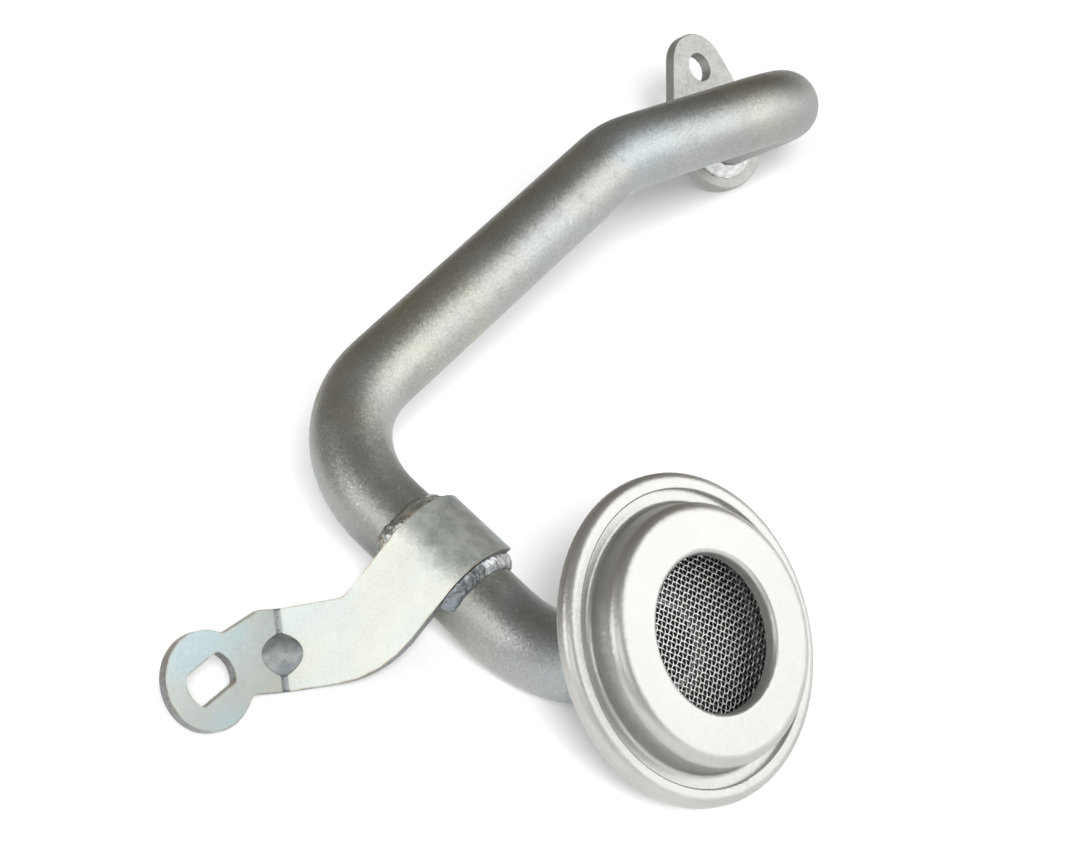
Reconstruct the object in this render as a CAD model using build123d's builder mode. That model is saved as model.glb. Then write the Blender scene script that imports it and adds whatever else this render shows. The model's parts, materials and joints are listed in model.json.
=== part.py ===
from build123d import *
from math import atan2, cos, degrees, radians, tan
import os

# Oil pickup tube: flange at one end, slotted support strap on the last run, round strainer at the
# other end. It lies the way it comes to rest, on the edges of flange, strap eye and strainer rim.
# Positions are first worked out in the flange's own frame: origin on the spigot's axis at the
# mounting face, +Z along the spigot into the tube, +X from the elbow towards the kink.

# Tube
tube_radius = 11.0
tube_wall = 1.5
bend_radius = 35.0
spigot_radius = 10.8
spigot_length = 6.0
elbow_height = 57.0
first_run = 93.5
second_run = 141.0
third_run = 91.5
run_fall_angle = 4.5
kink_angle = 19.0
rise_heading_angle = 95.0
rise_angle = 35.0

# Flange plate
flange_thickness = 4.0
lobe_radius = 19.4
lobe_x = -0.9
lobe_y = -1.4
ear_radius = 11.5
ear_reach = 23.3
ear_heading_angle = -97.6
bolt_hole_radius = 4.8
plate_edge = 0.4
flange_weld_width = 3.7
flange_weld_height = 3.8

# Strainer: heights are measured from the front face of the cover's flange
strainer_height = 144.0
rim_radius = 40.0
rim_lip_width = 4.3
back_sheet = 1.4
cover_sheet = 1.0
screen_thickness = 0.45
hem_clearance = 0.3
rim_front_corner = 2.3
rim_back_corner = 0.7
rim_lip_edge = 0.4
boss_height = 8.65
boss_ledge = 3.4
boss_draft = 1.1
boss_corner = 3.0
boss_root = 1.2
mouth_radius = 18.9
mouth_corner = 1.3
mouth_lip = 3.4
pan_depth = 10.0
pan_inset = 6.6
pan_draft = 3.9
pan_corner = 3.0
collar_length = 6.0
collar_corner = 1.2
neck_weld_size = 2.4
screen_pitch = 5.2
screen_bar = 1.4
screen_rows = 11
screen_border = 7.6
screen_angle = -38.5

# Support strap
strap_thickness = 3.0
strap_width = 21.4
strap_offset = 6.3
strap_roll_angle = 55.6
band_bend_radius = 12.0
band_end_angle = -19.5
band_corner = 5.0
strap_straight = 24.2
strap_inner_corner = 4.0
strap_outer_corner = 34.0
crease_radius = 1.8
neck_straight = 5.2
neck_taper_angle = 25.0
neck_fillet = 3.0
eye_reach_x = 54.68
eye_reach_y = 48.34
eye_height = 38.0
eye_radius = 12.9
slot_angle = 14.0
slot_radius = 7.5
slot_width = 9.3
slot_corner = 1.6
slot_offset = -0.55
gusset_radius = 6.7
gusset_depth = 3.5
gusset_offset = 1.2
strap_weld_width = 4.2
strap_weld_height = 2.6
lower_weld_width = 3.2
weld_start_angle = -18.0
weld_end_angle = 112.0

# Direction of the long second run on the floor, from +X
run_heading_angle = 232.6


def direction(turn, rise):
    """Unit direction turned about the flange's axis and raised from its face."""
    return Vector(1, 0, 0).rotate(Axis.Y, -rise).rotate(Axis.Z, turn)


def lowest(rings, up):
    """Lowest point of rings that are given as centre, axis, radius and edge rounding."""
    points = []
    for centre, axis, radius, rounding in rings:
        outward = (axis * axis.dot(up) - up).normalized()
        points.append(centre + outward * (radius - rounding) - up * rounding)
    return min(points, key=lambda point: point.dot(up))


# Corners of the tube's centreline in the flange's frame
normal = Vector(0, 0, 1)
elbow = normal * elbow_height
kink = elbow + direction(0, -run_fall_angle) * first_run
knee = kink + direction(kink_angle, -run_fall_angle) * second_run
rise = direction(rise_heading_angle, rise_angle)
heel = knee + rise * third_run
rim_centre = Vector(heel.X, heel.Y, strainer_height)
corners = [
    normal * -spigot_length,
    elbow,
    kink,
    knee,
    heel,
    rim_centre - normal * pan_depth,
]
with BuildLine() as centreline:
    FilletPolyline(*corners, radius=bend_radius)

# Strap's frame: along the tube's third run, out through the strap's face, and towards the eye
half_width = strap_width / 2
mitre_lap = 2 * strap_thickness
top = (normal - rise * rise.dot(normal)).normalized()
face_out = top.rotate(Axis((0, 0, 0), rise), strap_roll_angle)
to_eye = rise.cross(face_out)
band_middle = knee + rise * (third_run / 2 + strap_offset)
tangent = band_middle + face_out * (tube_radius + strap_thickness)

# In the strap's plane its leg turns to meet the eye's plane squarely, at the crease
leg = Vector(-to_eye.Z, -rise.Z).normalized()
leg_across = leg.rotate(Axis.Z, 90)
leg_turn = degrees(atan2(leg.Y, leg.X))
leg_down = to_eye * leg.X + rise * leg.Y
turn_point = tangent + to_eye * strap_straight
leg_length = (turn_point.Z - eye_height) / -leg_down.Z
leg_end = Vector(strap_straight, 0) + leg * (leg_length + mitre_lap)
crease_middle = turn_point + leg_down * leg_length
along_crease = to_eye * leg_across.X + rise * leg_across.Y
neck_out = along_crease.cross(normal)
eye_centre = Vector(knee.X + eye_reach_x, knee.Y + eye_reach_y, eye_height)
neck_start = (crease_middle - eye_centre).dot(neck_out)
neck_side = (crease_middle - eye_centre).dot(along_crease)

# Across the crease in its mitre plane, and into the fold's inside
through = (neck_out + leg_down).normalized()
inward = (neck_out - leg_down).normalized()
fold_arm = Vector(neck_out.dot(through), neck_out.dot(inward)) * (2 * gusset_radius)
fold_root = Vector(0, -strap_thickness / 2)
fold_centre = crease_middle + inward * (crease_radius / inward.dot(normal))
fold_ring = (
    fold_centre + along_crease * half_width,
    along_crease,
    crease_radius + strap_thickness,
    0,
)

# Rim: the back pressing is folded over the cover's flange and the screen
hem_gap = cover_sheet + screen_thickness
rim_inside = rim_radius - back_sheet
rim_lip_radius = rim_radius - rim_lip_width
rim_back = rim_centre - normal * (hem_gap + back_sheet)

# Radii that follow the rim: the boss inside its lip, the pan's wall and the screen's open part
boss_base_radius = rim_lip_radius - boss_ledge
boss_top_radius = boss_base_radius - boss_draft
pan_top_radius = rim_radius - pan_inset
pan_floor_radius = pan_top_radius - pan_draft
screen_open_radius = rim_inside - screen_border

# Outline of the part as rings, for its resting plane and its middle
lobe_centre = Vector(lobe_x, lobe_y)
ear_centre = direction(ear_heading_angle, 0) * ear_reach
stations = [index / 400 for index in range(401)]
route = centreline.wire()
tube_rings = [(route @ at, route % at, tube_radius, 0) for at in stations if (route @ at).Z >= 0]
spigot_rings = [(corners[0], normal, spigot_radius, 0)]
flange_rings = [
    (lobe_centre + normal * height, normal, lobe_radius, plate_edge)
    for height in (plate_edge, flange_thickness - plate_edge)
]
ear_rings = [
    (ear_centre + normal * height, normal, ear_radius, 0) for height in (0, flange_thickness)
]
strap_rings = [(eye_centre - normal * depth, normal, eye_radius, 0) for depth in (0, strap_thickness)]
strap_rings.append(fold_ring)
strainer_rings = [
    (rim_back + normal * rim_back_corner, normal, rim_radius, rim_back_corner),
    (rim_centre + normal * (back_sheet - rim_front_corner), normal, rim_radius, rim_front_corner),
    (rim_centre + normal * (boss_height - boss_corner), normal, boss_top_radius, boss_corner),
]

# Resting plane: it touches the lowest points of the flange end, the strap and the strainer end
up = Vector(0, -1, 1).normalized()
for _ in range(60):
    flange_foot = lowest(flange_rings, up)
    strap_foot = lowest(strap_rings, up)
    strainer_foot = lowest(strainer_rings + tube_rings[len(tube_rings) // 2:], up)
    up = (strainer_foot - strap_foot).cross(flange_foot - strap_foot).normalized()
long_run = direction(kink_angle, -run_fall_angle)
run_on_floor = (long_run - up * up.dot(long_run)).normalized()
floor_x = run_on_floor.rotate(Axis((0, 0, 0), up), -run_heading_angle)
floor_y = up.cross(floor_x)
outline = tube_rings + spigot_rings + flange_rings + ear_rings + strap_rings + strainer_rings


def middle(along):
    """Middle of the outline's reach along a direction."""
    return along * ((lowest(outline, along) + lowest(outline, -along)).dot(along) / 2)


floor = Plane(
    middle(floor_x) + middle(floor_y) + up * flange_foot.dot(up), x_dir=floor_x, z_dir=up
)
plate = Plane(floor.location.inverse())


def placed(origin, x_dir, z_dir):
    """Plane on the resting part, from an origin and directions in the flange's frame."""
    return Plane(plate.location * Plane(origin, x_dir=x_dir, z_dir=z_dir).location)


def axis_of(plane):
    """Axis through a plane's origin, along its normal."""
    return Axis(plane.origin, plane.z_dir)


def upright(plane):
    """Plane that holds a plane's own X and Z axes, for turned profiles of radius and height."""
    return Plane(plane.origin, x_dir=plane.x_dir, z_dir=-plane.y_dir)


strainer = placed(rim_centre, direction(0, 0), normal)
screen_face = placed(rim_centre - normal * hem_gap, direction(screen_angle, 0), normal)
strap_plane = placed(tangent, to_eye, face_out)
band_plane = placed(band_middle, -to_eye, rise)
eye_plane = placed(eye_centre, neck_out, normal)
slot_along = direction(slot_angle, 0)
slot_plane = placed(eye_centre + slot_along * slot_offset, slot_along, normal)
mitre = placed(crease_middle, along_crease, through)
fold_section = placed(crease_middle, through, -along_crease)


def strap_corner(side):
    """Mitred corner of the strap's edge where its leg turns, for a distance from its middle."""
    return Vector(strap_straight, 0) + Vector(0, side / cos(radians(leg_turn / 2))).rotate(
        Axis.Z, leg_turn / 2
    )


def weld_profile_plane(side):
    """Plane through the third run's axis at the weld's start, at one edge of the strap."""
    outward = (-to_eye).rotate(Axis((0, 0, 0), rise), weld_start_angle)
    return placed(band_middle + rise * (side * half_width), outward, outward.cross(rise * side))


# Bent tube, with a spigot that is sized to a slightly smaller diameter behind the flange
with BuildPart() as suction_tube:
    with BuildLine() as tube_line:
        FilletPolyline(*[plate.from_local_coords(corner) for corner in corners], radius=bend_radius)
    with BuildSketch(plate.offset(-spigot_length)):
        Circle(tube_radius)
    sweep(path=tube_line.wire())
    with BuildSketch(plate.offset(-spigot_length)):
        Circle(tube_radius - tube_wall)
    sweep(path=tube_line.wire(), mode=Mode.SUBTRACT)
    with BuildSketch(plate):
        Circle(tube_radius + tube_wall)
        Circle(spigot_radius, mode=Mode.SUBTRACT)
    extrude(amount=-spigot_length, mode=Mode.SUBTRACT)

# Stamped flange plate: a lobe round the tube and an ear with the bolt hole
with BuildPart() as flange_plate:
    with BuildSketch(plate):
        with Locations(lobe_centre):
            Circle(lobe_radius)
        with Locations(ear_centre):
            Circle(ear_radius)
        make_hull()
    extrude(amount=flange_thickness)
    broad_faces = flange_plate.faces().filter_by(axis_of(plate))
    fillet([edge for face in broad_faces for edge in face.edges()], radius=plate_edge)
    with BuildSketch(plate):
        Circle(tube_radius)
        with Locations(ear_centre):
            Circle(bolt_hole_radius)
    extrude(amount=flange_thickness, mode=Mode.SUBTRACT)

# Weld ring between the plate's front face and the tube
with BuildPart() as flange_weld:
    with BuildSketch(upright(plate.offset(flange_thickness))):
        with BuildLine():
            plate_toe = (tube_radius + flange_weld_width, 0)
            tube_toe = (tube_radius, flange_weld_height)
            Polyline(tube_toe, (tube_radius, 0), plate_toe)
            SagittaArc(tube_toe, plate_toe, flange_weld_width / 6)
        make_face()
    revolve(axis=axis_of(plate))

# Back pressing: collar on the tube, shallow pan and the rim folded over the cover's flange
with BuildPart() as strainer_back:
    with BuildSketch(upright(strainer)):
        with BuildLine():
            pan_inside = FilletPolyline(
                (tube_radius, -pan_depth - collar_length),
                (tube_radius, -pan_depth),
                (pan_floor_radius, -pan_depth),
                (pan_top_radius, -hem_gap),
                (rim_inside, -hem_gap),
                radius=[collar_corner + back_sheet, pan_corner, pan_corner / 2],
            )
            offset(pan_inside, amount=back_sheet, side=Side.RIGHT)
        make_face()
        with BuildLine():
            FilletPolyline(
                (rim_inside, -hem_gap),
                (rim_inside, 0),
                (rim_lip_radius, 0),
                (rim_lip_radius, back_sheet),
                (rim_radius, back_sheet),
                (rim_radius, -hem_gap - back_sheet),
                (rim_inside, -hem_gap - back_sheet),
                radius=[0, 0, 0, rim_lip_edge, rim_front_corner, rim_back_corner, 0],
                close=True,
            )
        make_face()
    revolve(axis=axis_of(strainer))

# Front pressing: flange under the hem, stepped boss and turned-in mouth
with BuildPart() as strainer_cover:
    with BuildSketch(upright(strainer)):
        with BuildLine():
            cover_outside = FilletPolyline(
                (rim_inside - hem_clearance, 0),
                (boss_base_radius, 0),
                (boss_top_radius, boss_height),
                (mouth_radius, boss_height),
                (mouth_radius, boss_height - mouth_lip),
                radius=[boss_root, boss_corner, mouth_corner],
            )
            offset(cover_outside, amount=cover_sheet, side=Side.LEFT)
        make_face()
    revolve(axis=axis_of(strainer))

# Screen clamped behind the cover's flange
with BuildPart() as strainer_mesh:
    with BuildSketch(screen_face):
        Circle(rim_inside - hem_clearance)
    extrude(amount=screen_thickness)
    with BuildSketch(screen_face):
        with GridLocations(screen_pitch, screen_pitch, screen_rows, screen_rows):
            Rectangle(screen_pitch - screen_bar, screen_pitch - screen_bar)
        Circle(screen_open_radius, mode=Mode.INTERSECT)
    extrude(amount=screen_thickness, mode=Mode.SUBTRACT)

# Weld ring behind the strainer's collar
with BuildPart() as neck_weld:
    with BuildSketch(upright(strainer.offset(-pan_depth - collar_length))):
        with BuildLine():
            neck_toe = (tube_radius, -neck_weld_size)
            collar_toe = (tube_radius + back_sheet, 0)
            Polyline(neck_toe, (tube_radius, 0), collar_toe)
            SagittaArc(collar_toe, neck_toe, back_sheet / 6)
        make_face()
    revolve(axis=axis_of(strainer))

# Eye end of the strap, up to the mitre at the crease
with BuildPart() as eye_end:
    with BuildSketch(eye_plane) as eye_outline:
        Circle(eye_radius)
        with BuildLine():
            taper_start = neck_start + neck_straight
            Polyline(
                (neck_start - mitre_lap, neck_side - half_width),
                (taper_start, neck_side - half_width),
                (0, neck_side - half_width - taper_start * tan(radians(neck_taper_angle))),
                (0, neck_side + half_width),
                (neck_start - mitre_lap, neck_side + half_width),
                close=True,
            )
        make_face()
        junctions = eye_outline.vertices().filter_by(
            lambda vertex: vertex.X < 0 and abs(Vector(vertex.X, vertex.Y).length - eye_radius) < 0.01
        )
        fillet(junctions, radius=neck_fillet)
    extrude(amount=-strap_thickness)
    with BuildSketch(slot_plane) as slot:
        Circle(slot_radius)
        Rectangle(2 * slot_radius, slot_width, mode=Mode.INTERSECT)
        fillet(slot.vertices(), radius=slot_corner)
    extrude(amount=-strap_thickness, mode=Mode.SUBTRACT)
    split(bisect_by=mitre, keep=Keep.TOP)

# Dart that bridges the crease
with BuildPart() as dart:
    with BuildSketch(mitre):
        with Locations((gusset_offset, -gusset_depth)):
            Circle(gusset_radius)
    extrude(amount=2 * gusset_radius, both=True)
    with BuildSketch(fold_section.offset(-half_width)):
        with BuildLine():
            Polyline(
                fold_root,
                fold_root + fold_arm,
                fold_root + Vector(-fold_arm.X, fold_arm.Y),
                close=True,
            )
        make_face()
    extrude(amount=strap_width, mode=Mode.INTERSECT)

# Strap: flat leg, folded eye end, dart and the band over the tube
with BuildPart() as bracket_strap:
    with BuildSketch(strap_plane):
        with BuildLine():
            FilletPolyline(
                (0, half_width),
                strap_corner(half_width),
                leg_end + leg_across * half_width,
                leg_end - leg_across * half_width,
                strap_corner(-half_width),
                (0, -half_width),
                radius=[0, strap_outer_corner, 0, 0, strap_inner_corner, 0],
                close=True,
            )
        make_face()
    extrude(amount=-strap_thickness)
    split(bisect_by=mitre, keep=Keep.BOTTOM)
    add(eye_end.part)
    creases = bracket_strap.edges().filter_by(Axis(mitre.origin, mitre.x_dir))
    ridge, valley = creases.sort_by(Axis(mitre.origin, mitre.y_dir))[:: len(creases) - 1]
    fillet(valley, radius=crease_radius)
    fillet(ridge, radius=crease_radius + strap_thickness)
    add(dart.part)
    with BuildSketch(mitre):
        with Locations((gusset_offset, -gusset_depth)):
            Circle(gusset_radius - strap_thickness)
    extrude(amount=2 * gusset_radius, both=True, mode=Mode.SUBTRACT)
    with BuildSketch(band_plane.offset(-half_width)):
        with BuildLine():
            band_inside = CenterArc(
                (0, tube_radius - band_bend_radius),
                band_bend_radius,
                band_end_angle,
                90 - band_end_angle,
            )
            offset(band_inside, amount=strap_thickness, side=Side.RIGHT)
        make_face()
    extrude(amount=strap_width)
    band_tip = Vector(band_bend_radius + strap_thickness / 2, 0).rotate(Axis.Z, band_end_angle)
    band_tip += Vector(0, tube_radius - band_bend_radius)
    end_face = bracket_strap.faces().sort_by_distance(band_plane.from_local_coords(band_tip))[0]
    fillet(end_face.edges().sort_by(axis_of(band_plane))[-1], radius=band_corner)


def strap_weld(side, width):
    """Weld bead on the tube along one edge of the strap: -1 is the edge nearer the knee, 1 the other."""
    with BuildPart() as bead:
        with BuildSketch(weld_profile_plane(side)):
            with BuildLine():
                strap_toe = (tube_radius + strap_weld_height, 0)
                tube_toe = (tube_radius, width)
                Polyline(strap_toe, (tube_radius, 0), tube_toe)
                SagittaArc(strap_toe, tube_toe, -width / 6)
            make_face()
        revolve(axis=axis_of(band_plane), revolution_arc=weld_end_angle - weld_start_angle)
    return bead


strap_weld_upper = strap_weld(-1, strap_weld_width)
strap_weld_lower = strap_weld(1, lower_weld_width)

os.makedirs("parts", exist_ok=True)
pieces = {
    "suction_tube": suction_tube,
    "flange_plate": flange_plate,
    "flange_weld": flange_weld,
    "bracket_strap": bracket_strap,
    "strap_weld_upper": strap_weld_upper,
    "strap_weld_lower": strap_weld_lower,
    "strainer_back": strainer_back,
    "neck_weld": neck_weld,
    "strainer_cover": strainer_cover,
    "strainer_mesh": strainer_mesh,
}
for name, piece in pieces.items():
    piece.part.label = name
    export_step(piece.part, f"parts/{name}.step")
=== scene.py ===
"""Looks of a steel oil pickup tube: satin zinc tube, lumpy welds, pale strap and woven screen."""

import json
import math

import bpy
import numpy as np
from mathutils import Matrix, Vector, noise

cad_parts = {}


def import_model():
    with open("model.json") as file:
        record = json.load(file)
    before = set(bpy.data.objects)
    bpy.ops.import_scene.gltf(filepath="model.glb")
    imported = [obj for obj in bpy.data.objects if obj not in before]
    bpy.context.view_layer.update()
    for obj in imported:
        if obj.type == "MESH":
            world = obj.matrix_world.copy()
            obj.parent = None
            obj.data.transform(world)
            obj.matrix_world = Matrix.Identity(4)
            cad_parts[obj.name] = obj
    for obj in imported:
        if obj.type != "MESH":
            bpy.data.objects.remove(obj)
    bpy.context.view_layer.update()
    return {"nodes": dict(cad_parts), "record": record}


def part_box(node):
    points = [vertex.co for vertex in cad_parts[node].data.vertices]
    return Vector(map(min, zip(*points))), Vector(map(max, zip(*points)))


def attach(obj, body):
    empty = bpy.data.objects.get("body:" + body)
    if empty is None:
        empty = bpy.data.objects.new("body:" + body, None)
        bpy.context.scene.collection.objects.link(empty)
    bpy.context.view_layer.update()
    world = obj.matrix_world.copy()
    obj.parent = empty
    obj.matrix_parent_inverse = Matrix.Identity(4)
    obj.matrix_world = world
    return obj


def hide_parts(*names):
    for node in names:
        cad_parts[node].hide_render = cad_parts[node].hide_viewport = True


MM = 0.001

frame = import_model()
nodes = frame["nodes"]
mounts = {mount["name"]: mount for mount in frame["record"]["mounts"]}


# The flange frame: the photo's camera and the directions of the screen's wires are given in it.
# Lengths are in millimetres

# From the flange's back face to the middle of the spigot, where its mount is
SPIGOT_MIDDLE = 3.0
# From the frame's x axis to the strap's slot, round the tube's axis
SLOT_HEADING = math.radians(18.527)


def flange_frame():
    """Origin on the flange's back face at the tube's axis; z runs along it, x to the strap."""
    normal = -Vector(mounts["spigot"]["axis"]).normalized()
    origin = Vector(mounts["spigot"]["pos_m"]) + normal * SPIGOT_MIDDLE * MM
    to_slot = Vector(mounts["strap_slot"]["pos_m"]) - origin
    to_slot = (to_slot - normal * to_slot.dot(normal)).normalized()
    across = normal.cross(to_slot)
    x_axis = to_slot * math.cos(SLOT_HEADING) - across * math.sin(SLOT_HEADING)
    y_axis = normal.cross(x_axis)
    turn = Matrix((x_axis, y_axis, normal)).transposed()
    return origin, turn


FLANGE_ORIGIN, FLANGE_TURN = flange_frame()
FLANGE_X, FLANGE_Y, PLATE_NORMAL = (FLANGE_TURN.col[i].copy() for i in range(3))
SCREEN_MIDDLE = sum(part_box("strainer_mesh"), Vector()) / 2

# The metal is burnt round the strap's welds: the tube round their middle, the strap's face round
# a point further up its band
WELD_CORNERS = [*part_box("strap_weld_upper"), *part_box("strap_weld_lower")]
BAND_MIDDLE = sum(WELD_CORNERS, Vector()) / len(WELD_CORNERS)
BAND_TOP_OFFSET = (-8.0, -3.5, 7.0)
BAND_TOP = BAND_MIDDLE + FLANGE_TURN @ Vector(BAND_TOP_OFFSET) * MM

# The lower weld turns bluish, between these two distances, towards its end at the least x
LOWER_WELD_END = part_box("strap_weld_lower")[0].x
COOL_FROM, COOL_TO = 0.005, 0.015
LOWER_WELD_COOL = (LOWER_WELD_END + COOL_FROM, LOWER_WELD_END + COOL_TO)


# Node trees: lengths are in metres, and the scale of noise and cells is a count per metre

# How far the noise moves the border of a round patch
UNEVEN_BORDER = 0.012
BEVEL_SAMPLES = 6


class Nodes:
    """The node tree of a material or a world, with short ways to add nodes."""

    def __init__(self, owner):
        owner.use_nodes = True
        self.tree = owner.node_tree
        self.tree.nodes.clear()

    def put(self, node, key, value):
        """Link a socket to a node's input, or set the input to a plain value."""
        if isinstance(value, bpy.types.NodeSocket):
            self.tree.links.new(value, node.inputs[key])
        else:
            node.inputs[key].default_value = value

    def node(self, kind, inputs=None, **settings):
        node = self.tree.nodes.new(kind)
        for key, value in settings.items():
            setattr(node, key, value)
        for key, value in (inputs or {}).items():
            self.put(node, key, value)
        return node

    def math(self, operation, a, b=0.0):
        return self.node("ShaderNodeMath", {0: a, 1: b}, operation=operation).outputs[0]

    def vector(self, operation, a, b=None, scale=None):
        node = self.node("ShaderNodeVectorMath", {0: a}, operation=operation)
        if b is not None:
            self.put(node, 1, b)
        if scale is not None:
            self.put(node, "Scale", scale)
        single = operation in ("DOT_PRODUCT", "LENGTH")
        return node.outputs["Value" if single else "Vector"]

    def spread(self, value, low, high, to_low=0.0, to_high=1.0, interpolation="SMOOTHSTEP"):
        """Value from low..high to to_low..to_high, clamped."""
        inputs = {"Value": value, "From Min": low, "From Max": high,
                  "To Min": to_low, "To Max": to_high}
        node = self.node("ShaderNodeMapRange", inputs, interpolation_type=interpolation)
        return node.outputs["Result"]

    def seen(self):
        """One for what the camera, a reflection or a clear material sees, zero for plain light."""
        rays = self.node("ShaderNodeLightPath").outputs
        seen = self.math("MAXIMUM", rays["Is Camera Ray"], rays["Is Glossy Ray"])
        return self.math("MAXIMUM", seen, rays["Is Transmission Ray"])


class Shader(Nodes):
    """A material with a Principled surface, and the noises and masks that paint it."""

    def __init__(self, name):
        self.material = bpy.data.materials.new(name)
        super().__init__(self.material)
        self.surface = self.node("ShaderNodeBsdfPrincipled")
        self.node("ShaderNodeOutputMaterial", {"Surface": self.surface.outputs[0]})
        self.coords = self.node("ShaderNodeTexCoord").outputs["Object"]

    def face_normal(self):
        return self.node("ShaderNodeNewGeometry").outputs["Normal"]

    def component(self, vector, axis):
        return self.node("ShaderNodeSeparateXYZ", {"Vector": vector}).outputs[axis]

    def noise(self, scale, detail, rough, coords=None, distortion=0.0):
        inputs = {"Vector": coords or self.coords, "Scale": scale, "Detail": detail,
                  "Roughness": rough, "Distortion": distortion}
        return self.node("ShaderNodeTexNoise", inputs).outputs["Fac"]

    def stretched(self, factors, turn):
        inputs = {"Vector": self.coords, "Scale": factors, "Rotation": turn}
        return self.node("ShaderNodeMapping", inputs).outputs[0]

    def cells(self, scale):
        return self.node("ShaderNodeTexVoronoi", {"Vector": self.coords, "Scale": scale}).outputs

    def mix(self, factor, a, b):
        node = self.node("ShaderNodeMix", data_type="RGBA")
        self.put(node, "Factor", factor)
        self.put(node, "A", a if isinstance(a, bpy.types.NodeSocket) else (*a, 1.0))
        self.put(node, "B", b if isinstance(b, bpy.types.NodeSocket) else (*b, 1.0))
        return node.outputs["Result"]

    def shade(self, mask, low, high, colour, other, amount=1.0):
        """Colour that turns to the other one, up to the amount, where the mask goes to high."""
        return self.mix(self.spread(mask, low, high, 0.0, amount), colour, other)

    def crystals(self, scale, tilt):
        """Normal that leans a little another way in each small cell, as plated zinc sparkles."""
        lean = self.vector("SUBTRACT", self.cells(scale)["Color"], (0.5, 0.5, 0.5))
        lean = self.vector("SCALE", lean, scale=tilt)
        return self.vector("NORMALIZE", self.vector("ADD", self.face_normal(), lean))

    def bump(self, height, distance, normal=None):
        node = self.node("ShaderNodeBump", {"Height": height, "Distance": distance})
        if normal is not None:
            self.put(node, "Normal", normal)
        return node.outputs["Normal"]

    def near_point(self, point, inner, outer, uneven):
        """One round a point, zero away from it, with an uneven border."""
        distance = self.vector("LENGTH", self.vector("SUBTRACT", self.coords, tuple(point)))
        distance = self.math("ADD", distance, self.math("MULTIPLY", uneven, UNEVEN_BORDER))
        shift = UNEVEN_BORDER / 2
        return self.spread(distance, inner + shift, outer + shift, 1.0, 0.0)

    def edges(self, radius, low, high):
        """One along the sharp edges of a solid, zero on its faces."""
        rounded = self.node("ShaderNodeBevel", {"Radius": radius}, samples=BEVEL_SAMPLES)
        same = self.vector("DOT_PRODUCT", rounded.outputs[0], self.face_normal())
        return self.spread(same, high, low)

    def finish(self, colour, roughness, normal, metallic):
        for key, value in (("Base Color", colour), ("Roughness", roughness),
                           ("Metallic", metallic), ("Normal", normal)):
            self.put(self.surface, key, value)
        return self.material


# Materials: colours are linear RGB, lengths in metres. Each starts as a mottle, dark to light

# Burnt patches: the distances from the middle at which they start to fade and end
TUBE_BURN = (0.016, 0.034)
STRAP_BURN = (0.010, 0.023)
# Between these places in Y painted shade darkens the tube towards its flange, with an uneven
# border
TUBE_SHADE_SPAN = (0.05, 0.15)
SHADE_UNEVEN = 0.03
# Widths of the coloured lines along sharp edges; the dart's line is painted shade
PLATE_LINE, STRAP_LINE, CREASE_SHADE_LINE = 0.0005, 0.0007, 0.0014
# Between these radii the painted shade inside the pan ends, near the rim
PAN_SHADE_RADII = (0.0330, 0.0338)


def tube_zinc():
    """Satin zinc on a drawn tube: faint mottling, cooler and warmer patches, fine sparkle."""
    dark, light = (0.395, 0.408, 0.390), (0.448, 0.460, 0.440)
    bluish, yellowish = (0.385, 0.45, 0.495), (0.485, 0.478, 0.40)
    dull_and_shade, stained, grainy = (0.29, 0.295, 0.29), (0.27, 0.265, 0.25), (0.27, 0.27, 0.26)
    scorched, painted_glint = (0.22, 0.228, 0.212), (0.80, 0.80, 0.76)
    s = Shader("tube_zinc")
    patches = s.noise(38.0, 5.0, 0.6)
    tint = s.noise(17.0, 3.0, 0.5, distortion=0.6)
    grain = s.noise(1700.0, 3.0, 0.6)
    stains = s.noise(150.0, 6.0, 0.68)
    colour = s.shade(patches, 0.35, 0.65, dark, light)
    colour = s.shade(tint, 0.5, 0.68, colour, bluish, 0.7)
    colour = s.shade(tint, 0.46, 0.30, colour, yellowish, 0.7)
    # painted shade: the tube is painted darker towards its flange, with an uneven border
    uneven = s.math("MULTIPLY", stains, SHADE_UNEVEN)
    far = s.math("ADD", s.component(s.coords, "Y"), uneven)
    colour = s.shade(far, *TUBE_SHADE_SPAN, colour, dull_and_shade, 0.65)
    colour = s.shade(stains, 0.54, 0.72, colour, stained, 0.42)
    colour = s.shade(grain, 0.38, 0.62, colour, grainy, 0.45)
    burnt = s.near_point(BAND_MIDDLE, *TUBE_BURN, stains)
    colour = s.mix(s.math("MULTIPLY", burnt, 0.45), colour, scorched)
    # painted glints: small white dots in the colour stand in for the zinc's sparkle
    glint_dots = s.spread(s.cells(620.0)["Distance"], 0.17, 0.10)
    glint_dots = s.math("MULTIPLY", glint_dots, s.spread(s.noise(260.0, 3.0, 0.6), 0.55, 0.66))
    colour = s.mix(s.math("MULTIPLY", glint_dots, 0.9), colour, painted_glint)
    rough = s.spread(patches, 0.3, 0.7, 0.44, 0.52)
    rough = s.math("ADD", rough, s.spread(stains, 0.5, 0.75, 0.0, 0.06))
    normal = s.bump(grain, 2.2e-5, s.crystals(2300.0, 0.135))
    return s.finish(colour, rough, normal, metallic=0.96)


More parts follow.
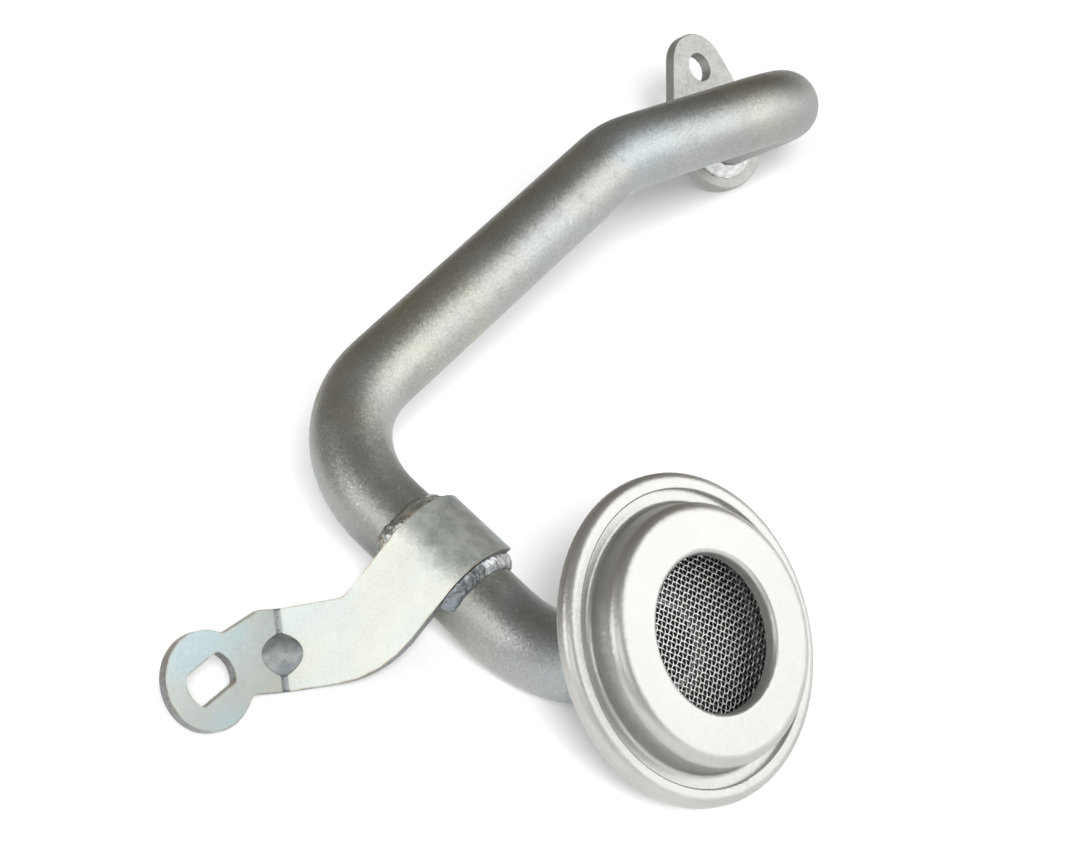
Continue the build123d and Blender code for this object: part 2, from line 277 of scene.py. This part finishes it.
def plate_zinc():
    """Stamped flange plate: mottled face, duller cut sides, brown where its edge is worn."""
    dark, light = (0.35, 0.355, 0.34), (0.44, 0.443, 0.428)
    cut_side, brown = (0.36, 0.36, 0.345), (0.20, 0.165, 0.11)
    s = Shader("plate_zinc")
    facing = s.vector("DOT_PRODUCT", s.face_normal(), tuple(PLATE_NORMAL))
    side = s.spread(s.math("ABSOLUTE", facing), 0.75, 0.35)
    patches = s.noise(110.0, 6.0, 0.62)
    grain = s.noise(1500.0, 3.0, 0.6)
    colour = s.shade(patches, 0.36, 0.66, dark, light)
    colour = s.mix(s.math("MULTIPLY", side, 0.75), colour, cut_side)
    breaks = s.spread(s.noise(260.0, 4.0, 0.6), 0.46, 0.60)
    worn = s.math("MULTIPLY", s.edges(PLATE_LINE, 0.93, 0.995), breaks)
    colour = s.mix(s.math("MULTIPLY", worn, 0.8), colour, brown)
    rough = s.spread(patches, 0.3, 0.7, 0.44, 0.52)
    normal = s.bump(s.noise(420.0, 5.0, 0.6), 1.5e-5, s.crystals(1300.0, 0.12))
    return s.finish(colour, rough, s.bump(grain, 1.4e-5, normal), metallic=0.8)


def strap_zinc_face():
    """Pale zinc on the strap's sheet: bluish and warm tints, burnt band, golden brown edges."""
    dark, light = (0.468, 0.505, 0.487), (0.515, 0.548, 0.528)
    bluish, yellowish = (0.425, 0.545, 0.585), (0.530, 0.540, 0.470)
    burnt_dark, burnt_light = (0.225, 0.245, 0.228), (0.335, 0.355, 0.335)
    grainy, golden = (0.40, 0.42, 0.40), (0.30, 0.20, 0.09)
    s = Shader("strap_zinc_face")
    patches = s.noise(70.0, 5.0, 0.6)
    grain = s.noise(1600.0, 3.0, 0.6)
    tint = s.noise(34.0, 3.0, 0.5, distortion=0.5)
    colour = s.shade(patches, 0.35, 0.65, dark, light)
    colour = s.shade(tint, 0.48, 0.62, colour, bluish, 0.85)
    colour = s.shade(tint, 0.47, 0.34, colour, yellowish, 0.7)
    mottle = s.noise(240.0, 5.0, 0.65)
    burnt = s.near_point(BAND_TOP, *STRAP_BURN, mottle)
    dull_and_shade = s.shade(mottle, 0.36, 0.64, burnt_dark, burnt_light)
    colour = s.mix(s.math("MULTIPLY", burnt, 0.95), colour, dull_and_shade)
    colour = s.shade(grain, 0.38, 0.62, colour, grainy, 0.30)
    fringe = s.edges(STRAP_LINE, 0.93, 0.999)
    breaks = s.spread(s.noise(300.0, 4.0, 0.6), 0.42, 0.58)
    share = s.math("ADD", s.math("MULTIPLY", breaks, 0.65), 0.25)
    colour = s.mix(s.math("MULTIPLY", fringe, share), colour, golden)
    rough = s.spread(patches, 0.3, 0.7, 0.42, 0.50)
    normal = s.bump(s.noise(500.0, 4.0, 0.55), 1.6e-5, s.crystals(2200.0, 0.12))
    return s.finish(colour, rough, s.bump(grain, 1.6e-5, normal), metallic=0.6)


def strap_zinc_cut():
    """Sheared strap edge: darker and streaked; painted light makes it paler where it faces up."""
    dark, light = (0.175, 0.182, 0.190), (0.285, 0.295, 0.305)
    brown, pale = (0.205, 0.175, 0.135), (0.62, 0.57, 0.45)
    s = Shader("strap_zinc_cut")
    patches = s.noise(70.0, 5.0, 0.6)
    grain = s.noise(1600.0, 3.0, 0.6)
    streaks = s.noise(900.0, 4.0, 0.65)
    colour = s.shade(streaks, 0.35, 0.65, dark, light)
    colour = s.shade(patches, 0.45, 0.7, colour, brown, 0.6)
    # painted light: the cut edge is painted paler where it faces up
    colour = s.shade(s.component(s.face_normal(), "Z"), 0.35, 0.95, colour, pale, 0.45)
    rough = s.spread(streaks, 0.3, 0.7, 0.38, 0.52)
    normal = s.bump(streaks, 4.0e-5, s.crystals(1100.0, 0.12))
    return s.finish(colour, rough, s.bump(grain, 1.2e-5, normal), metallic=0.85)


def strap_zinc_dart_painted_shade():
    """Pressed dart of the strap: painted shade, darker than the sheet round it, with small spots.
    """
    dark, light = (0.235, 0.262, 0.272), (0.365, 0.392, 0.398)
    spot, painted_crease_shade = (0.08, 0.07, 0.06), (0.075, 0.075, 0.075)
    s = Shader("strap_zinc_dart_painted_shade")
    patches = s.noise(260.0, 4.0, 0.6)
    spots = s.noise(900.0, 3.0, 0.6)
    # painted shade: the dart and the strap's creases are painted darker than the sheet round them
    colour = s.shade(patches, 0.35, 0.65, dark, light)
    colour = s.shade(spots, 0.64, 0.70, colour, spot, 0.75)
    # painted shade: a dark line along the sharp edges of the dart and creases
    colour = s.mix(s.edges(CREASE_SHADE_LINE, 0.86, 0.985), colour, painted_crease_shade)
    rough = s.spread(patches, 0.3, 0.7, 0.40, 0.52)
    normal = s.bump(s.noise(700.0, 4.0, 0.6), 2.5e-5, s.crystals(1300.0, 0.10))
    return s.finish(colour, rough, normal, metallic=0.85)


def weld_zinc(name, dark, light, rough, freckles=0.5, golden=0.0, cool=None, metallic=0.85):
    """Plated weld metal: dark and light lumps, freckles, and golden or bluish heat tints."""
    freckle, gold, bluish = (0.10, 0.10, 0.09), (0.52, 0.40, 0.22), (0.17, 0.195, 0.22)
    s = Shader(name)
    lumps = s.noise(520.0, 5.0, 0.6)
    spots = s.noise(1300.0, 4.0, 0.65)
    colour = s.shade(lumps, 0.34, 0.66, dark, light)
    colour = s.shade(spots, 0.58, 0.70, colour, freckle, freckles)
    if golden:
        colour = s.shade(s.noise(230.0, 3.0, 0.5), 0.52, 0.72, colour, gold, golden)
    if cool:
        colour = s.shade(s.component(s.coords, "X"), cool[1], cool[0], colour, bluish, 0.8)
    normal = s.bump(s.noise(600.0, 3.0, 0.5), 1.8e-5, s.crystals(1800.0, 0.03))
    return s.finish(colour, s.spread(lumps, 0.3, 0.7, *rough), normal, metallic)


def pan_shade_mask(s):
    """One on those faces of the strainer's back, within the rim, that look into the pan."""
    axis = tuple(PLATE_NORMAL)
    facing = s.face_normal()
    offset = s.vector("SUBTRACT", s.coords, tuple(SCREEN_MIDDLE))
    height = s.vector("DOT_PRODUCT", offset, axis)
    radial = s.vector("SUBTRACT", offset, s.vector("SCALE", axis, scale=height))
    near = s.spread(s.vector("LENGTH", radial), *PAN_SHADE_RADII, 1.0, 0.0)
    inward = s.vector("DOT_PRODUCT", facing, s.vector("NORMALIZE", radial))
    inner = s.math("MAXIMUM", s.spread(inward, -0.25, -0.35),
                   s.spread(s.vector("DOT_PRODUCT", facing, axis), 0.25, 0.35))
    return s.math("MULTIPLY", near, inner)


def pressing_steel(name, painted_shade_inside):
    """Bright satin pressing, faint drawing marks; painted shade in the pan, below the screen."""
    dark, light = (0.405, 0.399, 0.385), (0.452, 0.447, 0.434)
    scuffed, painted_pan_shade, grainy = (0.44, 0.43, 0.41), (0.085, 0.082, 0.076), (0.42, 0.42, 0.41)
    s = Shader(name)
    patches = s.noise(55.0, 4.0, 0.55)
    grain = s.noise(1500.0, 3.0, 0.6)
    scuffs = s.noise(60.0, 5.0, 0.6, coords=s.stretched((1.0, 5.0, 1.0), (0.4, 0.5, 0.6)))
    colour = s.shade(patches, 0.35, 0.65, dark, light)
    colour = s.shade(scuffs, 0.60, 0.75, colour, scuffed, 0.25)
    if painted_shade_inside:
        # painted shade: the inside of the pan is painted dark
        colour = s.mix(pan_shade_mask(s), colour, painted_pan_shade)
    colour = s.shade(grain, 0.35, 0.65, colour, grainy, 0.12)
    rough = s.spread(patches, 0.3, 0.7, 0.35, 0.42)
    normal = s.bump(grain, 1.6e-5, s.crystals(2300.0, 0.09))
    return s.finish(colour, rough, normal, metallic=0.88)


def wire_steel():
    """Bright drawn wire of the screen."""
    dark, light = (0.88, 0.87, 0.86), (0.97, 0.96, 0.94)
    s = Shader("wire_steel")
    patches = s.noise(160.0, 4.0, 0.6)
    colour = s.shade(patches, 0.35, 0.65, dark, light)
    rough = s.spread(patches, 0.3, 0.7, 0.26, 0.36)
    return s.finish(colour, rough, s.bump(s.noise(3000.0, 3.0, 0.6), 0.6e-5), metallic=1.0)


WIRE = wire_steel()
WELD_FLANGE = weld_zinc("weld_zinc_flange", (0.60, 0.60, 0.585), (0.88, 0.88, 0.865),
                        rough=(0.34, 0.46), metallic=0.35)
WELD_UPPER = weld_zinc("weld_zinc_upper", (0.27, 0.29, 0.27), (0.45, 0.47, 0.44),
                       rough=(0.24, 0.34), freckles=0.3, golden=0.3)
WELD_LOWER = weld_zinc("weld_zinc_lower", (0.22, 0.235, 0.245), (0.46, 0.47, 0.47),
                       rough=(0.22, 0.32), freckles=0.2, cool=LOWER_WELD_COOL)
WELD_NECK = weld_zinc("weld_zinc_neck", (0.30, 0.30, 0.29), (0.54, 0.54, 0.52),
                      rough=(0.26, 0.40))


def paint(thing, *materials):
    thing.data.materials.clear()
    for material in materials:
        thing.data.materials.append(material)


paint(nodes["suction_tube"], tube_zinc())
paint(nodes["flange_plate"], plate_zinc())
paint(nodes["bracket_strap"], strap_zinc_face(), strap_zinc_cut(), strap_zinc_dart_painted_shade())
paint(nodes["strainer_back"], pressing_steel("pressing_steel_back", True))
paint(nodes["strainer_cover"], pressing_steel("pressing_steel_cover", False))
paint(nodes["strainer_mesh"], WIRE)


# Sheared edges and dart of the strap

FACE_SLOT, CUT_SLOT, DART_SLOT = range(3)
STRAP_THICKNESS = 3.0
# A cut face is no wider than this many times the sheet's thickness
CUT_WIDTH = 1.02
# Least cosine between the fold's direction and the faces of the dart and creases
ALONG_FOLD = 0.97


def islands(mesh):
    """For each polygon, the number of its island: polygons that share corners, one CAD face."""
    parent = list(range(len(mesh.vertices)))

    def top(i):
        while parent[i] != i:
            parent[i] = parent[parent[i]]
            i = parent[i]
        return i

    for polygon in mesh.polygons:
        first = top(polygon.vertices[0])
        for i in polygon.vertices[1:]:
            parent[top(i)] = first
    return [top(polygon.vertices[0]) for polygon in mesh.polygons]


def mark_strap_faces(thing):
    """Second material for faces as narrow as the sheet is thick, third for the dart and creases.

    Those face halfway between the leg, the largest face, and the eye, which is parallel to the
    flange plate.
    """
    mesh = thing.data
    group = islands(mesh)
    area, border, seen, facing = {}, {}, {}, {}
    for polygon, g in zip(mesh.polygons, group):
        area[g] = area.get(g, 0.0) + polygon.area
        facing[g] = facing.get(g, Vector()) + polygon.normal * polygon.area
        for key in polygon.edge_keys:
            seen[(g, key)] = seen.get((g, key), 0) + 1
    for (g, key), count in seen.items():
        if count == 1:
            a, b = (mesh.vertices[i].co for i in key)
            border[g] = border.get(g, 0.0) + (a - b).length
    leg = max(area, key=lambda g: (area[g], g))
    fold = facing[leg].normalized()
    fold = (fold + PLATE_NORMAL * math.copysign(1.0, fold.dot(PLATE_NORMAL))).normalized()
    kind = {}
    for g in area:
        width = 2 * area[g] / border[g]
        if abs(facing[g].normalized().dot(fold)) > ALONG_FOLD:
            kind[g] = DART_SLOT
        elif width < CUT_WIDTH * STRAP_THICKNESS * MM:
            kind[g] = CUT_SLOT
        else:
            kind[g] = FACE_SLOT
    for polygon, g in zip(mesh.polygons, group):
        polygon.material_index = kind[g]


mark_strap_faces(nodes["bracket_strap"])


# New objects


def link(name, data):
    thing = bpy.data.objects.new(name, data)
    bpy.context.scene.collection.objects.link(thing)
    return thing


def build(name, vertices, faces):
    mesh = bpy.data.meshes.new(name)
    mesh.from_pydata([tuple(vertex) for vertex in vertices], [], faces)
    mesh.update()
    return link(name, mesh)


def smooth(mesh):
    for polygon in mesh.polygons:
        polygon.use_smooth = True


# Weld beads: sizes in millimetres

# The noise has a second, finer octave, and each bead reads it at another place
FINE_SHARE = 0.45
FINE_SCALE = 2.3
SEED_STEP = (13.7, 4.1, 7.9)
# How far the lumps bend the ripples, in radians
RIPPLE_BEND = 1.2
SPINE_SAMPLES = 4000


def read_vectors(collection, key):
    values = np.empty(len(collection) * 3, np.float32)
    collection.foreach_get(key, values)
    return values.reshape(-1, 3)


def lumpy_bead(node, name, material, voxel, lump, lump_size, seed, ripple=0.0, ripple_pitch=1.0):
    """A weld bead from the plain CAD bead: remeshed, then pushed out and in by fixed noise.

    Its ripples, where it has them, lie square to its longest direction.
    """
    piece = link(name, nodes[node].data.copy())
    remesh = piece.modifiers.new("remesh", "REMESH")
    remesh.mode = "VOXEL"
    remesh.voxel_size = voxel * MM
    remesh.use_smooth_shade = True
    depsgraph = bpy.context.evaluated_depsgraph_get()
    fresh = bpy.data.meshes.new_from_object(piece.evaluated_get(depsgraph))
    piece.modifiers.clear()
    piece.data = fresh
    places = read_vectors(fresh.vertices, "co")
    normals = read_vectors(fresh.vertex_normals, "vector")
    count = len(places)
    offsets = places - places.mean(0)
    samples = offsets[:: max(1, count // SPINE_SAMPLES)]
    along = offsets @ np.linalg.svd(samples, full_matrices=False)[2][0]
    shift = Vector([step * seed for step in SEED_STEP])
    push = np.empty(count, np.float32)
    for i in range(count):
        at = Vector(places[i]) / (lump_size * MM) + shift
        push[i] = noise.noise(at) + FINE_SHARE * noise.noise(at * FINE_SCALE)
    wave = np.sin(along / (ripple_pitch * MM) * 2 * math.pi + RIPPLE_BEND * push)
    places += normals * ((lump * push + ripple * wave) * MM)[:, None]
    fresh.vertices.foreach_set("co", places.ravel())
    fresh.update()
    paint(piece, material)
    smooth(fresh)
    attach(piece, "root")
    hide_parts(node)


lumpy_bead("flange_weld", "flange_weld_bead", WELD_FLANGE,
           voxel=0.35, lump=0.34, lump_size=2.6, seed=1)
lumpy_bead("strap_weld_upper", "strap_weld_upper_bead", WELD_UPPER,
           voxel=0.25, lump=0.36, lump_size=2.2, seed=2, ripple=0.06, ripple_pitch=2.6)
lumpy_bead("strap_weld_lower", "strap_weld_lower_bead", WELD_LOWER,
           voxel=0.25, lump=0.26, lump_size=2.8, seed=3, ripple=0.05, ripple_pitch=2.4)
lumpy_bead("neck_weld", "neck_weld_bead", WELD_NECK,
           voxel=0.30, lump=0.24, lump_size=2.2, seed=4)


# Woven screen: sizes in millimetres

WIRE_PITCH = 1.31
WIRE_RADIUS = 0.185
WOVEN_RADIUS = 31.4
STEPS_PER_PITCH = 4
WIRE_SIDES = 5
WIRE_HEADING = math.radians(-38.5)
WARP = FLANGE_X * math.cos(WIRE_HEADING) + FLANGE_Y * math.sin(WIRE_HEADING)
WEFT = PLATE_NORMAL.cross(WARP)

BORDER_OUTER = 38.2
BORDER_INNER = WOVEN_RADIUS - 0.6
BORDER_HALF = 0.2
BORDER_SIDES = 96


def add_wire(vertices, faces, path, side):
    """A closed tube along a wavy path that lies square to the direction side."""
    rings = len(path)
    start = len(vertices)
    for i, point in enumerate(path):
        ahead = (path[min(i + 1, rings - 1)] - path[max(i - 1, 0)]).normalized()
        lift = side.cross(ahead)
        for k in range(WIRE_SIDES):
            a = 2 * math.pi * k / WIRE_SIDES
            vertices.append(point + (side * math.cos(a) + lift * math.sin(a)) * WIRE_RADIUS * MM)
    for i in range(rings - 1):
        for k in range(WIRE_SIDES):
            a = start + i * WIRE_SIDES + k
            b = start + i * WIRE_SIDES + (k + 1) % WIRE_SIDES
            faces.append((a, b, b + WIRE_SIDES, a + WIRE_SIDES))
    faces.append([start + k for k in reversed(range(WIRE_SIDES))])
    faces.append([start + (rings - 1) * WIRE_SIDES + k for k in range(WIRE_SIDES)])


def woven_screen():
    """Plain weave of round wires, cut to the round opening of the strainer."""
    vertices, faces = [], []
    pitch = WIRE_PITCH * MM
    reach = WOVEN_RADIUS * MM
    half = int(reach / pitch)
    step = pitch / STEPS_PER_PITCH
    for along, across, over in ((WARP, WEFT, 1), (WEFT, WARP, -1)):
        for row in range(-half, half + 1):
            off = row * pitch
            length = math.sqrt(max(reach ** 2 - off ** 2, 0.0))
            count = int(length / step)
            if count < STEPS_PER_PITCH:
                continue
            path = []
            for i in range(-count, count + 1):
                wave = over * (-1) ** row * math.cos(math.pi * i / STEPS_PER_PITCH)
                lift = PLATE_NORMAL * wave * WIRE_RADIUS * MM
                path.append(SCREEN_MIDDLE + across * off + along * (i * step) + lift)
            add_wire(vertices, faces, path, across)
    piece = build("woven_screen", vertices, faces)
    smooth(piece.data)
    paint(piece, WIRE)
    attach(piece, "root")
    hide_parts("strainer_mesh")


def screen_border():
    """Flat ring of pressed wire cloth that the rim holds round the open part of the screen."""
    outer, inner, half = BORDER_OUTER * MM, BORDER_INNER * MM, BORDER_HALF * MM
    vertices, faces = [], []
    for i in range(BORDER_SIDES):
        a = 2 * math.pi * i / BORDER_SIDES
        ray = WARP * math.cos(a) + WEFT * math.sin(a)
        for radius, lift in ((inner, -half), (outer, -half), (outer, half), (inner, half)):
            vertices.append(SCREEN_MIDDLE + ray * radius + PLATE_NORMAL * lift)
    for i in range(BORDER_SIDES):
        a, b = 4 * i, 4 * ((i + 1) % BORDER_SIDES)
        for k in range(4):
            m = (k + 1) % 4
            faces.append((a + k, b + k, b + m, a + m))
    piece = build("screen_border", vertices, faces)
    paint(piece, WIRE)
    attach(piece, "root")
    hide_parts("strainer_mesh")


woven_screen()
screen_border()


# Floor, background and light: sizes in metres

PART_MIDDLE = Vector((0.0, 0.0, 0.03))
FLOOR_HALF = 4.0
FLOOR_COLOUR = (0.82, 0.82, 0.82)
# The floor's glow for the camera: its two levels and the two distances between which it grows
GLOW_NEAR, GLOW_FAR = 0.10, 1.0
GLOW_FROM, GLOW_TO = 0.25, 1.0
WORLD_LIGHT = 0.37
CARD_COLUMNS, CARD_ROWS = 24, 12


def direction(azimuth, elevation):
    """Unit vector: azimuth 0 is +Y and 90 is +X, elevation is up from the floor."""
    a, e = math.radians(azimuth), math.radians(elevation)
    return Vector((math.sin(a) * math.cos(e), math.cos(a) * math.cos(e), math.sin(e)))


def floor_paper():
    """Pale diffuse paper with a glow for the camera and for reflections, stronger far out."""
    material = bpy.data.materials.new("floor_paper")
    tree = Nodes(material)
    diffuse = tree.node("ShaderNodeBsdfDiffuse", {"Color": (*FLOOR_COLOUR, 1.0)})
    far = tree.vector("LENGTH", tree.node("ShaderNodeTexCoord").outputs["Object"])
    level = tree.spread(far, GLOW_FROM, GLOW_TO, GLOW_NEAR, GLOW_FAR, "LINEAR")
    glow = tree.node("ShaderNodeEmission", {"Strength": tree.math("MULTIPLY", tree.seen(), level)})
    both = tree.node("ShaderNodeAddShader", {0: diffuse.outputs[0], 1: glow.outputs[0]})
    tree.node("ShaderNodeOutputMaterial", {"Surface": both.outputs[0]})
    return material


def floor():
    half = FLOOR_HALF
    corners = [(-half, -half, 0), (half, -half, 0), (half, half, 0), (-half, half, 0)]
    thing = build("floor", corners, [(0, 1, 2, 3)])
    paint(thing, floor_paper())


def world():
    """White to the camera and to reflections, a plain soft light for everything else."""
    studio = bpy.data.worlds.new("studio")
    bpy.context.scene.world = studio
    tree = Nodes(studio)
    level = tree.spread(tree.seen(), 0.0, 1.0, WORLD_LIGHT, 1.0, "LINEAR")
    background = tree.node("ShaderNodeBackground", {"Strength": level})
    tree.node("ShaderNodeOutputWorld", {"Surface": background.outputs[0]})


def softbox(name, azimuth, elevation, distance, width, height, radiance, mirrored=True):
    """Flat studio lamp turned to the part; with mirrored=False reflections don't show it."""
    lamp = bpy.data.lights.new(name, "AREA")
    lamp.shape = "RECTANGLE"
    lamp.size = width
    lamp.size_y = height
    lamp.energy = math.pi * width * height * radiance
    thing = link(name, lamp)
    thing.location = PART_MIDDLE + direction(azimuth, elevation) * distance
    thing.rotation_euler = (PART_MIDDLE - thing.location).to_track_quat("-Z", "Y").to_euler()
    thing.visible_camera = False
    thing.visible_glossy = mirrored


def dark_card(name, radius, azimuths, elevations, shade):
    """Curved grey card round the table, seen only in reflections, as studio flags are."""
    vertices, faces = [], []
    for j in range(CARD_ROWS + 1):
        for i in range(CARD_COLUMNS + 1):
            a = azimuths[0] + (azimuths[1] - azimuths[0]) * i / CARD_COLUMNS
            e = elevations[0] + (elevations[1] - elevations[0]) * j / CARD_ROWS
            vertices.append(direction(a, e) * radius)
    for j in range(CARD_ROWS):
        for i in range(CARD_COLUMNS):
            a = j * (CARD_COLUMNS + 1) + i
            faces.append((a, a + 1, a + CARD_COLUMNS + 2, a + CARD_COLUMNS + 1))
    thing = build(name, vertices, faces)
    material = bpy.data.materials.new(name)
    tree = Nodes(material)
    glow = tree.node("ShaderNodeEmission", {"Color": (*shade, 1.0)})
    tree.node("ShaderNodeOutputMaterial", {"Surface": glow.outputs[0]})
    paint(thing, material)
    thing.visible_camera = False
    thing.visible_diffuse = False
    thing.visible_transmission = False
    thing.visible_shadow = False


floor()
world()
softbox("softbox_right", azimuth=92, elevation=24, distance=1.25,
        width=1.0, height=1.15, radiance=2.05)
softbox("softbox_left", azimuth=-128, elevation=31, distance=1.20,
        width=0.75, height=0.75, radiance=2.5)
softbox("softbox_front", azimuth=177, elevation=36, distance=1.25,
        width=0.75, height=0.6, radiance=1.7)
# The photo's narrow shadow, left of the part and below it, comes from this one
softbox("softbox_key", azimuth=169, elevation=37.5, distance=2.40,
        width=0.44, height=0.44, radiance=102.0, mirrored=False)
dark_card("card_back", radius=2.5, azimuths=(-110, 66), elevations=(0, 60),
          shade=(0.200, 0.170, 0.135))
dark_card("card_top", radius=2.4, azimuths=(-180, 180), elevations=(58, 90),
          shade=(0.20, 0.185, 0.165))
dark_card("card_front", radius=2.5, azimuths=(118, 250), elevations=(0, 60),
          shade=(0.50, 0.48, 0.45))


# Camera: its place, in millimetres, and its two picture axes are given in the flange frame

CAMERA_PLACE = (656.417, 38.684, 606.386)
CAMERA_RIGHT = (-0.692396, 0.340517, 0.636110)
CAMERA_UP = (-0.274550, -0.939649, 0.204161)
LENS = 90.0
SENSOR_WIDTH = 36.0
CLIP_START = 0.01


def camera():
    """The photo's view."""
    data = bpy.data.cameras.new("photo_view")
    data.lens = LENS
    data.sensor_fit = "HORIZONTAL"
    data.sensor_width = SENSOR_WIDTH
    data.clip_start = CLIP_START
    thing = link("photo_view", data)
    right = (FLANGE_TURN @ Vector(CAMERA_RIGHT)).normalized()
    up = FLANGE_TURN @ Vector(CAMERA_UP)
    up = (up - right * up.dot(right)).normalized()
    turn = Matrix((right, up, right.cross(up))).transposed()
    place = FLANGE_ORIGIN + FLANGE_TURN @ (Vector(CAMERA_PLACE) * MM)
    thing.matrix_world = Matrix.Translation(place) @ turn.to_4x4()
    bpy.context.scene.camera = thing


camera()
bpy.context.scene.view_settings.view_transform = "Standard"
